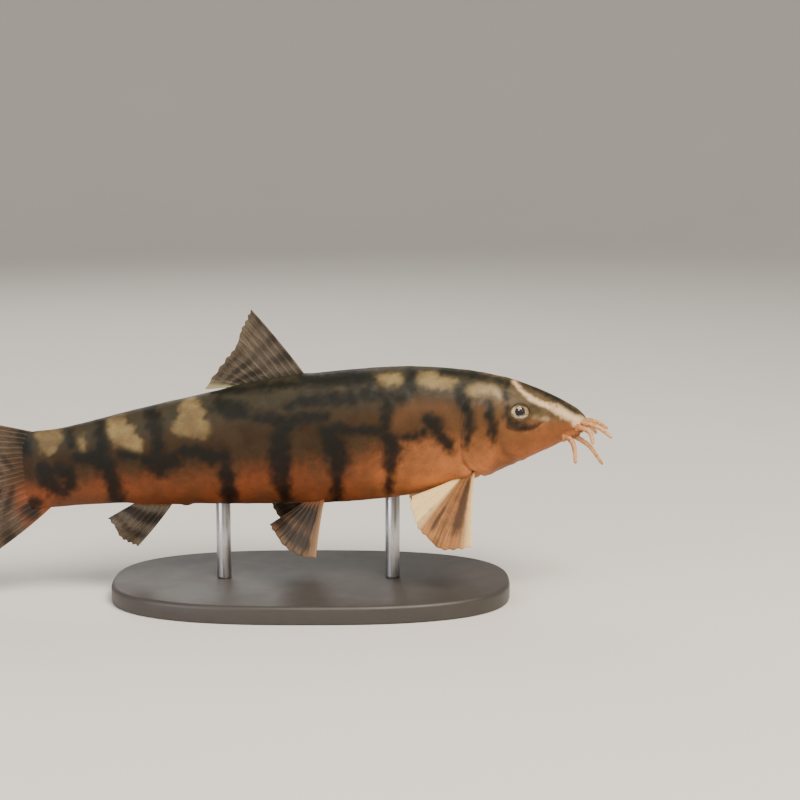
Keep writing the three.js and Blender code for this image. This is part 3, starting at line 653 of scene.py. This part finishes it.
iris, mm = finish_named("iris, silver and horn")
across, down, _ = attribute(iris, "disc")
disc = add(iris, "CombineXYZ", {0: across, 1: down}).outputs[0]
from_axis = add(iris, "VectorMath", {0: disc}, operation="LENGTH").outputs["Value"]
blotch = grain(iris, mm, 0.5, 3)
rim = maths(iris, "MULTIPLY_ADD", maths(iris, "SUBTRACT", blotch, 0.5), 0.35, from_axis)
off_level = maths(iris, "MULTIPLY_ADD", blotch, 0.6, maths(iris, "ABSOLUTE", down))
silver = blend(iris, blotch, 0.35, 0.65, "#978460", "#dccda8")
shaded = blend(iris, off_level, 0.75, 1.35, silver, "#5a4730", 0.85)
ringed = blend(iris, rim, 1.3, 1.62, shaded, "#5f4a33")
gold = blend(iris, from_axis, 0.88, 1.02, "#b98d4c", ringed)
pupil = blend(iris, from_axis, 0.80, 0.88, "#030202", gold)
surface(iris, {"Base Color": pupil, "Roughness": 0.32, "IOR": 1.4, "Coat Weight": 0.5,
               "Coat Roughness": 0.08})

clear, mm = finish_named("cornea, clear")
surface(clear, {"Base Color": linear("#ffffff"), "Roughness": 0.03, "IOR": 1.376, "Transmission Weight": 1.0,
                "Normal": relief(clear, grain(clear, mm, 0.8, 1), 0.02, 0.05)})

for word, side_sign in (("right", -1), ("left", 1)):
    eyeball = dome("eyeball_" + word, iris, side_sign, ball)
    window = dome("cornea_" + word, clear, side_sign, shell)
    for piece in (eyeball, window):
        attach(piece, "root")
    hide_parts("eye_" + word)

# Barbels: six soft feelers, two pairs at the snout tip and one at the corners of the mouth. Each is a
# tapering stalk of flesh with fine cross wrinkles, wider where it grows out of the lip.
BARBELS = {
    # root, then bend and tip of the right and of the left one: x, distance from the middle plane, height
    "rostral_barbel_outer": [(44.3, 1.25, 29.6), [(46.8, 2.1, 29.1), (49.1, 2.9, 27.5)],
                             [(46.9, 2.2, 29.2), (49, 3.2, 27.9)]],
    "rostral_barbel_inner": [(44.1, 1.75, 28.9), [(45.5, 2.7, 28.3), (46, 3.6, 26.5)],
                             [(46, 2.8, 28.4), (47.3, 3.9, 26.9)]],
    "maxillary_barbel": [(42, 2.3, 27.4), [(42.9, 3.1, 26.2), (43.2, 3.7, 23.3)],
                         [(45.9, 3.6, 25), (48.5, 4.5, 21.5)]],
}
# From a barbel's start inside the lip to its root.
IN_LIP = [0.7, 0.25, -0.1]
BARBEL_RADIUS = 0.54
BARBEL_TIP = 0.26


def stalk(points, sides=28, rings=72):
    """Round tapering bar along a smooth curve, its circles square to the curve: wrinkled, flared at its root
    and rounded off at its tip."""
    path = curve_points(points, rings)
    tangent = unit(np.gradient(path, axis=0))
    across = unit(np.cross(tangent, [0, 0, 1]))
    over = np.cross(across, tangent)
    t = np.linspace(0, 1, rings)
    radius = BARBEL_RADIUS + (BARBEL_TIP - BARBEL_RADIUS) * t**0.9
    radius = radius + 0.42 * smooth(0.22, 0.0, t) ** 1.5
    radius *= 1 + 0.045 * np.sin(t * 95 + 2 * np.sin(t * 9)) * smooth(0.03, 0.15, t)
    radius *= np.sqrt(np.clip((1 - t) / 0.04, 0, 1)) * (t < 1) + 0.02
    turn = 2 * math.pi * np.arange(sides) / sides
    circle = np.cos(turn)[:, None] * across[:, None] + np.sin(turn)[:, None] * over[:, None]
    grid = path[:, None] + radius[:, None, None] * circle
    along = np.concatenate([np.repeat(t, sides), [0, 1]])
    points = np.concatenate([bend(grid).reshape(-1, 3), bend(path[[0, -1]])])
    return points, ring_faces(rings, sides), {"stalk": np.stack([along] * 3, -1)}


feeler, mm = finish_named("barbel flesh")
along, _, _ = attribute(feeler, "stalk")
tone = blend(feeler, along, 0.0, 0.75, "#a8713f", "#cc9a64")
tone = blend(feeler, grain(feeler, mm, 0.5, 2), 0.46, 0.7, tone, "#6a431f", 0.6)
surface(feeler, {
    "Base Color": tone, "Roughness": 0.42, "IOR": 1.4, "Coat Weight": 0.25, "Coat Roughness": 0.2,
    "Subsurface Weight": 0.3, "Subsurface Radius": (1.0, 0.45, 0.25), "Subsurface Scale": 0.001,
    "Normal": relief(feeler, grain(feeler, mm, 0.22, 2), 0.3, 0.1)})

for name, (root, right, left) in BARBELS.items():
    for word, side_sign, bend_and_tip in (("right", -1, right), ("left", 1, left)):
        path = np.array([np.subtract(root, IN_LIP), root, *bend_and_tip])
        barbel = piece_from(name + "_" + word + "_flesh", feeler, *stalk(path * [1, side_sign, 1]))
        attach(barbel, "root")
        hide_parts(name + "_" + word)

# Fins on the middle line: dorsal, anal and the forked tail fin. Each is a clear membrane over a fan of soft
# rays that are jointed and split twice. From the first ray to the last, evenly spread, aim is the angle over
# straight back in degrees, reach the length and bow the bend.
DORSAL = {"rays": 11, "root": [(-0.7, 37), (-12.1, 35.1)], "aim": [54, 53, 50, 38, -5],
          "reach": [13.8, 11.4, 8.3, 6, 5], "bow": [-6, -3, 0], "wave": 0.5}
ANAL = {"rays": 8, "root": [(-22.4, 16.2), (-28.4, 16.2)], "aim": [-55, -52, -47, -40, -30],
        "reach": [9.9, 9.5, 8.4, 7, 5.8], "bow": [8, 4, 0], "wave": 0.5}
TAIL_FIN = {"rays": 20, "root": [(-43.6, 27.9), (-44.1, 24.9), (-44.6, 21.8), (-43.7, 18.4), (-42.8, 15.2)],
            "aim": [13, 9, 2, -5, -11, -14, -21, -29, -37, -42],
            "reach": [20.8, 20.2, 16.6, 12.6, 9.4, 9.4, 12.6, 16.6, 20.2, 20.8], "bow": [2, 1, 0, 7, 14],
            "wave": 0.6}
ROOT_DEPTH = 1.6
FIRST_FORK, SECOND_FORK = 0.42, 0.74
JOINT_SPACING = 0.55


def even(values, t):
    """Smooth curve through values spread evenly over t from 0 to 1."""
    return through(np.linspace(0, 1, len(values)), values, t)


def fin_sheet(fin, place, shading, steps=15, rows=62):
    """Closed thin sheet: its middle surface runs out along rays that fan from the root line. It is thickest
    on each ray, and a ray is one ridge that parts in two and then in four, but for the first and the last.
    Shading gives how dusky, how pale and how fleshy each place is, by its share across the fin and out along
    it."""
    gaps = fin["rays"] - 1
    across = np.linspace(0, 1, gaps * steps + 1)[:, None] + np.zeros(rows)
    down = np.linspace(0, 1, rows)[None, :] + 0 * across
    phase = across * gaps
    nearest = np.round(phase)
    offset = phase - nearest
    notch = 0.5 - 0.5 * np.cos(2 * math.pi * offset)
    worn = 0.10 * np.sin(phase * 1.9 + 1.0) + 0.05 * np.sin(phase * 7.3)
    length = even(fin["reach"], across) - 0.16 * notch + worn
    out = -ROOT_DEPTH + (length + ROOT_DEPTH) * down
    share = np.maximum(out, 0) / length
    angle = np.radians(even(fin["aim"], across) + even(fin["bow"], across) * share / 2)
    lean = fin["wave"] * share * np.sin(across * 7 + 0.6) + 0.10 * share * np.sin(phase * 2.1)
    middle = place(fin, across, out, angle, lean)
    forked = (nearest > 0) & (nearest < gaps)
    first = 0.20 * forked * smooth(FIRST_FORK, 0.95, share)
    second = 0.095 * forked * smooth(SECOND_FORK, 1.0, share)
    gap = np.minimum(np.abs(np.abs(offset) - first - second), np.abs(np.abs(offset) - first + second))
    width = 0.21 - 0.07 * share - 0.05 * smooth(FIRST_FORK, 0.6, share) + 0.10 * (nearest == 0)
    ray = smooth(1.45, 0.2, gap / width)
    joint = 1 - 0.22 * hump(out / JOINT_SPACING % 1, 0.5, 0.12) * smooth(0.15, 0.3, share)
    edge = smooth(0, 0.02, across) * smooth(1, 0.98, across) * smooth(1, 0.965, down)
    thick = 0.05 + 0.09 * (1 - share) ** 2 + ray * joint * (0.12 * (1 - 0.7 * share) + 0.07 * (nearest == 0))
    thick = thick * (0.25 + 0.75 * edge)
    normal = unit(np.cross(np.gradient(middle, axis=1), np.gradient(middle, axis=0)))
    halves = [middle + normal * thick[..., None], middle - normal * thick[..., None]]
    grid = np.arange(share.size).reshape(share.shape)
    quads = np.stack([grid[:-1, :-1], grid[1:, :-1], grid[1:, 1:], grid[:-1, 1:]], -1).reshape(-1, 4)
    rim = np.concatenate([grid[0, :-1], grid[:-1, -1], grid[-1, :0:-1], grid[:0:-1, 0]])
    following = np.roll(rim, -1)
    rim_quads = np.stack([rim, following, following + grid.size, rim + grid.size], -1)
    faces = np.concatenate([quads, quads[:, [0, 3, 2, 1]] + grid.size, rim_quads]).tolist()
    points_of = bend(np.stack(halves)).reshape(-1, 3)
    dusky, pale, flesh = shading(across, share, np.maximum(out, 0), bend(middle))
    fields = {"ray": np.stack([ray, share, across], -1), "shade": np.stack([dusky, pale, flesh], -1)}
    return points_of, faces, {name: np.tile(values.reshape(-1, 3), (2, 1)) for name, values in fields.items()}


def upright(fin, across, out, angle, lean):
    """A fin in the middle plane: straight back from the root line by the cosine, up by the sine."""
    root = np.array(fin["root"])
    return np.stack([even(root[:, 0], across) - out * np.cos(angle), lean,
                     even(root[:, 1], across) + out * np.sin(angle)], -1)


def dorsal_shading(across, share, out, points):
    """Three dusky bars, a painted highlight along the last ray and flesh at the root."""
    bars = hump(share, 0.30, 0.10) + 0.8 * hump(share, 0.58, 0.09) + 0.6 * hump(share, 0.85, 0.08)
    return (np.clip(0.8 * bars * (0.75 + 0.25 * np.cos(across * 9)), 0, 1) * smooth(1.0, 0.93, across),
            0.9 * hump(across, 1.0, 0.07), smooth(1.8, 0.3, out) * smooth(1.0, 0.9, across))


def anal_shading(across, share, out, points):
    """Two dusky bars, the outer one fainter, and flesh at the root."""
    return (0.85 * hump(share, 0.42, 0.14) + 0.5 * hump(share, 0.8, 0.1), 0.2 * hump(share, 0.15, 0.1),
            smooth(1.6, 0.3, out))


def tail_shading(across, share, out, points):
    """The dark spots of the tail's end run on over the fin's base, and three dusky bars cross each lobe."""
    spots = strokes(DARK, chart(points), 0.25 * ripple(points, 2.3, 22), 1.5)
    bars = hump(share, 0.40, 0.07) + 0.9 * hump(share, 0.62, 0.07) + 0.8 * hump(share, 0.84, 0.07)
    return (np.clip(spots + 0.7 * bars * (0.7 + 0.3 * np.sin(across * 21)), 0, 1), 0 * share,
            smooth(6.5, 2.2, out))


def fin_finish(name, membrane, bone, dusky, pale, least):
    """Fin membrane over bony rays. The rays are solid, and the film between them lets some light through.
    Pigment lies along the rays, so the dusky places break up into streaks, and flesh runs a little way out
    from the root."""
    made, mm = finish_named(name)
    ray, _, _ = attribute(made, "ray")
    dark_there, pale_there, flesh_there = attribute(made, "shade")
    uneven = grain(made, mm, 1.3, 3)
    film = blend(made, uneven, 0.35, 0.65, membrane, mixed(made, 0.3, membrane, dusky))
    worn = ramp_value(made, grain(made, mm, 2.2, 2), 0.3, 0.7, 0.25, 0.9)
    tone = mixed(made, maths(made, "MULTIPLY", ray, worn), film, bone)
    tone = mixed(made, maths(made, "MULTIPLY", pale_there, 0.92), tone, pale)
    broken = maths(made, "MULTIPLY", dark_there, maths(made, "MULTIPLY_ADD", uneven, 0.8, 0.6))
    tone = blend(made, broken, 0.1, 0.8, tone, dusky, 0.85)
    rise = add(made, "SeparateXYZ", {0: mm}).outputs["Z"]
    # Fin roots take the body's colours by height. Below they are orange, partly painted warm light reflected
    # from below, and above they are dark olive.
    flesh = blend(made, rise, 17, 21, "#783f20", "#3a2513")
    flesh = blend(made, rise, 22, 28, flesh, "#2e2c21")
    bare = maths(made, "SUBTRACT", 1.0, dark_there)
    tone = mixed(made, maths(made, "MULTIPLY", flesh_there, bare), tone, flesh)
    tone = blend(made, grain(made, mm, 0.35, 1), 0.56, 0.68, tone, dusky, 0.15)
    solid_part = maths(made, "MAXIMUM", maths(made, "MAXIMUM", ray, pale_there),
                       maths(made, "MAXIMUM", dark_there, flesh_there))
    surface(made, {
        "Base Color": tone, "Roughness": 0.6, "IOR": 1.35,
        "Alpha": ramp_value(made, solid_part, 0.0, 0.8, least),
        "Subsurface Weight": 0.12, "Subsurface Radius": (1.0, 0.6, 0.35), "Subsurface Scale": 0.0004,
        "Normal": relief(made, grain(made, mm, 0.4, 1), 0.1, 0.08)})
    return made


# The pale colour of the median fins is both the painted highlight along the dorsal fin's last ray and the
# anal fin's pale band near its root.
median_film = fin_finish("fin membrane, smoky", "#41372a", "#665842", "#17130d", "#a29c74", 0.78)
tail_film = fin_finish("tail fin membrane, smoky", "#443323", "#66523a", "#14100b", "#8a7852", 0.80)
for name, fin, film, shading, nodes in (
        ("dorsal_fin_film", DORSAL, median_film, dorsal_shading, ["dorsal_fin"]),
        ("anal_fin_film", ANAL, median_film, anal_shading, ["anal_fin"]),
        ("tail_fin_film", TAIL_FIN, tail_film, tail_shading, ["caudal_fin_upper", "caudal_fin_lower"])):
    sheet = piece_from(name, film, *fin_sheet(fin, upright, shading))
    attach(sheet, "root")
    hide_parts(*nodes)

# Paired fins: the pectorals spread below the gill covers and the pelvics just before the dorsal fin's base,
# on the belly. They are made as the fins above, but each fans from a line on the flank and is splayed out
# from it. Their front ray is thick and pale, and aim is counted down from straight back.
PECTORAL = {"rays": 13, "root": [(26.9, 22.4), (24, 20.6)], "aim": [84, 69, 54, 38, 21],
            "reach": [12.7, 13.6, 12.3, 10.2, 8], "bow": [6, 3, 0], "splay": 27, "wave": 0.55}
PELVIC = {"rays": 8, "root": [(2.4, 17.2), (-0.6, 16.6)], "aim": [81, 70, 59, 47, 34],
          "reach": [10.3, 10.5, 9.6, 8.4, 7], "bow": [5, 2.5, 0], "splay": 38, "wave": 0.4}
# The left fins are held a few degrees off the right ones.
LEFT_TURN = -7


def from_side(side, turn):
    """Places a fin that fans from a line on the flank, in a plane leaning out by the splay angle."""
    def place(fin, across, out, angle, lean):
        (x0, z0), (x1, z1) = fin["root"]
        root_x, root_z = x0 + (x1 - x0) * across, z0 + (z1 - z0) * across
        root = np.stack([root_x, side * flank_y(root_x, root_z), root_z], -1)
        aim, splay = angle + math.radians(turn), math.radians(fin["splay"])
        down = np.array([0, side * math.sin(splay), -math.cos(splay)])
        over = np.array([0, math.cos(splay), side * math.sin(splay)])
        return (root + (np.cos(aim) * out)[..., None] * [-1, 0, 0]
                + (np.sin(aim) * out)[..., None] * down + lean[..., None] * over)
    return place


def pectoral_shading(across, share, out, points):
    """Dusky streaks along a few rays, and pale along the front ray and over the rear half."""
    streak = hump(across, 0.18, 0.085) * smooth(1.0, 0.6, share) * smooth(0.0, 0.2, share)
    streak += 0.7 * hump(across, 0.45, 0.035) * smooth(0.35, 0.6, share) * smooth(1.0, 0.85, share)
    streak += 0.5 * hump(across, 0.34, 0.03) + 0.35 * hump(across, 0.62, 0.03) * smooth(0.5, 0.7, share)
    return (np.clip(streak, 0, 1), np.clip(hump(across, 0.0, 0.075) + smooth(0.5, 0.68, across), 0, 1),
            smooth(1.6, 0.2, out))


def pelvic_shading(across, share, out, points):
    """Two dusky bars on dusky ground behind a pale front ray."""
    streak = 0.9 * hump(share, 0.36, 0.16) + 0.7 * hump(share, 0.78, 0.12) + 0.2
    return (np.clip(streak * smooth(0.05, 0.2, across), 0, 1), 0.9 * hump(across, 0.0, 0.10),
            smooth(1.6, 0.2, out))


pectoral_film = fin_finish("pectoral membrane, cream and smoke", "#8a5c33", "#a2703f", "#2c1d10", "#e6c88a",
                           0.9)
pelvic_film = fin_finish("pelvic membrane, smoky", "#3f2c1c", "#6a5138", "#17100a", "#8f6f4e", 0.82)
for word, side_sign, turn in (("right", -1, 0), ("left", 1, LEFT_TURN)):
    for node, fin, film, shading in (("pectoral_fin_", PECTORAL, pectoral_film, pectoral_shading),
                                     ("pelvic_fin_", PELVIC, pelvic_film, pelvic_shading)):
        sheet = piece_from(node + word + "_film", film, *fin_sheet(fin, from_side(side_sign, turn), shading))
        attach(sheet, "root")
        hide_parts(node + word)

# Display stand: an oval plate of cast resin, satin dark grey, and two drawn steel rods that hold the belly.
PLATE = {"length": 66, "width": 36, "height": 3, "edge": 0.7, "squareness": 2.6, "sides": 200}
ROD_AT = {"front": 13.5, "rear": -14.5}
ROD_RADIUS = 1.2
ROD_SIDES = 48
# How far the rods reach into the belly.
ROD_SUNK = 1.2

turn = 2 * math.pi * np.arange(PLATE["sides"]) / PLATE["sides"]
oval = [np.sign(way(turn)) * np.abs(way(turn)) ** (2 / PLATE["squareness"]) for way in (np.cos, np.sin)]
quarter = np.linspace(0, math.pi / 2, 7)
insets = np.concatenate([[0.35, 0.1, 0.0], PLATE["edge"] * (1 - np.cos(quarter))])
levels = np.concatenate([[0.0, 0.12, 0.4], PLATE["height"] - PLATE["edge"] * (1 - np.sin(quarter))])
rings = [np.stack([oval[0] * (PLATE["length"] / 2 - inset), oval[1] * (PLATE["width"] / 2 - inset),
                   level + 0 * turn], -1) for inset, level in zip(insets, levels)]
poles = [[0, 0, 0], [0, 0, PLATE["height"]]]

resin, mm = finish_named("cast resin, satin")
surface(resin, {
    "Base Color": mixed(resin, grain(resin, mm, 3.0, 4), "#35322f", "#403c38"), "IOR": 1.5,
    "Roughness": ramp_value(resin, grain(resin, mm, 7, 3), 0.3, 0.7, 0.38, 0.5),
    "Normal": relief(resin, grain(resin, mm, 0.35, 2), 0.12, 0.1)})
plate = piece_from("stand_plate", resin, np.concatenate([*rings, poles]),
                   ring_faces(len(rings), PLATE["sides"]))
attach(plate, "root")
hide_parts("stand_base")

steel, mm = finish_named("stainless steel, drawn")
stretched = add(steel, "Mapping", {"Vector": mm, "Scale": (6, 6, 0.15)}).outputs[0]
scratch = grain(steel, stretched, 1.0, 4)
surface(steel, {"Base Color": mixed(steel, scratch, "#a9abad", "#c9cacc"), "Metallic": 1.0,
                "Roughness": ramp_value(steel, scratch, 0.3, 0.7, 0.24, 0.4)})
for word, rod_x in ROD_AT.items():
    top = STATIONS[:, 2][np.abs(STATIONS[:, 0] - rod_x).argmin()] + ROD_SUNK
    heights = [3.02, 3.02, 3.3, 8, top - 0.3, top, top]
    radii = ROD_RADIUS * np.array([0, 1, 1, 1, 1, 0.85, 0])
    points, faces = turned(np.stack([radii, heights], -1), ROD_SIDES)
    rod = piece_from("stand_rod_" + word + "_steel", steel, points + [rod_x, sweep(rod_x), 0], faces)
    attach(rod, "root")
    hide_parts("stand_rod_" + word)

# Studio: a plain pale floor that curves up into a wall all round, a large soft light above, and softer ones
# at both sides.
FLOOR_FLAT, FLOOR_CURVE, WALL_TOP, FLOOR_SIDES = 620, 520, 760, 96
curve_up = np.linspace(0.1, math.pi / 2, 16)
radius = np.concatenate([[0, 60, 300, FLOOR_FLAT], FLOOR_FLAT + FLOOR_CURVE * np.sin(curve_up),
                         [FLOOR_FLAT + FLOOR_CURVE, 0]])
lift = np.concatenate([[0, 0, 0, 0], FLOOR_CURVE * (1 - np.cos(curve_up)), [WALL_TOP, WALL_TOP]])
points, faces = turned(np.stack([radius, lift], -1), FLOOR_SIDES)
paper, mm = finish_named("paper, matt white")
surface(paper, {"Base Color": mixed(paper, grain(paper, mm, 60, 2), "#d9d6d0", "#dedbd5"), "Roughness": 0.85,
                "IOR": 1.45})
# The last fan would close the top, so it is left out with its pole.
floor = piece_from("studio_floor", paper, points[:-1], faces[:-FLOOR_SIDES])


def soft_light(name, place, aim, size, watts, hex_colour):
    """Square area light at a place in mm, facing aim."""
    data = bpy.data.lights.new(name, "AREA")
    data.size = size / 1000
    data.energy = watts
    data.color = linear(hex_colour)[:3]
    lamp = bpy.data.objects.new(name, data)
    lamp.location = Vector(place) / 1000
    lamp.rotation_euler = (Vector(aim) - Vector(place)).to_track_quat("-Z", "Y").to_euler()
    bpy.context.scene.collection.objects.link(lamp)


soft_light("key", (160, -260, 420), (5, 0, 28), 260, 4.6, "#fff2e2")
soft_light("fill", (-320, -340, 160), (0, 0, 26), 300, 1.3, "#f6f3ff")
soft_light("rim", (-120, 330, 300), (0, 0, 28), 260, 0.6, "#ffffff")
world = bpy.data.worlds.new("studio")
world.use_nodes = True
sky = world.node_tree.nodes["Background"].inputs
sky["Color"].default_value = linear("#c9c8c6")
sky["Strength"].default_value = 0.6
bpy.context.scene.world = world
